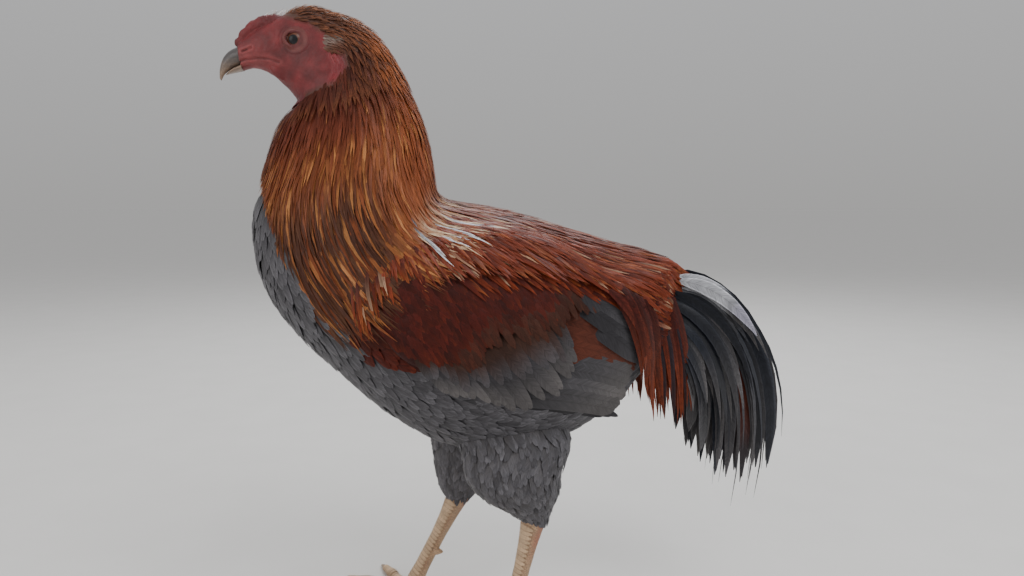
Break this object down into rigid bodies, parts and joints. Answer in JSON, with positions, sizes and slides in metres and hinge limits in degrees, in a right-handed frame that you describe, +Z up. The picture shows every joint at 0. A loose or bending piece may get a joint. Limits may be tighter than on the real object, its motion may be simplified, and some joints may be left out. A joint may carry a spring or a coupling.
{
  "type": "twente chicken",
  "caption": "Standing Twente cockerel with a hackle cape, folded wings and a drooping tail, as a still life-size model",
  "frame": {"origin": "on the floor, at the centre of the bird's bounding box seen from above", "axes": "the bird heads towards -X, its left side is -Y, +Z is up"},
  "size_m": [0.4212, 0.1771, 0.4546],
  "materials": {
    "beak_lower": "buff horn",
    "beak_upper": "dark grey horn",
    "breast": "slate grey breast feathers",
    "claw_left_inner": "horn",
    "claw_left_middle": "horn",
    "claw_left_outer": "horn",
    "claw_left_rear": "horn",
    "claw_right_inner": "horn",
    "claw_right_middle": "horn",
    "claw_right_outer": "horn",
    "claw_right_rear": "horn",
    "eye_left": "wet amber eye",
    "eye_right": "wet amber eye",
    "foot_left": "pale yellow scales",
    "foot_right": "pale yellow scales",
    "head": "bare crimson face, low comb and small lobes, brown feathered nape",
    "neck": "orange-gold hackle",
    "shank_left": "pale yellow scales",
    "shank_right": "pale yellow scales",
    "tail": "blue-black feathers",
    "thigh_left": "slate down",
    "thigh_right": "slate down",
    "torso": "rust and mahogany feathers over a slate breast",
    "wing_left": "mahogany bow and slate flight feathers",
    "wing_right": "mahogany bow and slate flight feathers"
  },
  "bodies": {
    "root": {"beak_lower": "beak_lower", "beak_upper": "beak_upper", "breast": "breast", "claw_left_inner": "claw_left_inner", "claw_left_middle": "claw_left_middle", "claw_left_outer": "claw_left_outer", "claw_left_rear": "claw_left_rear", "claw_right_inner": "claw_right_inner", "claw_right_middle": "claw_right_middle", "claw_right_outer": "claw_right_outer", "claw_right_rear": "claw_right_rear", "eye_left": "eye_left", "eye_right": "eye_right", "foot_left": "foot_left", "foot_right": "foot_right", "head": "head", "neck": "neck", "shank_left": "shank_left", "shank_right": "shank_right", "tail": "tail", "thigh_left": "thigh_left", "thigh_right": "thigh_right", "torso": "torso", "wing_left": "wing_left", "wing_right": "wing_right"}
  },
  "joints": []
}
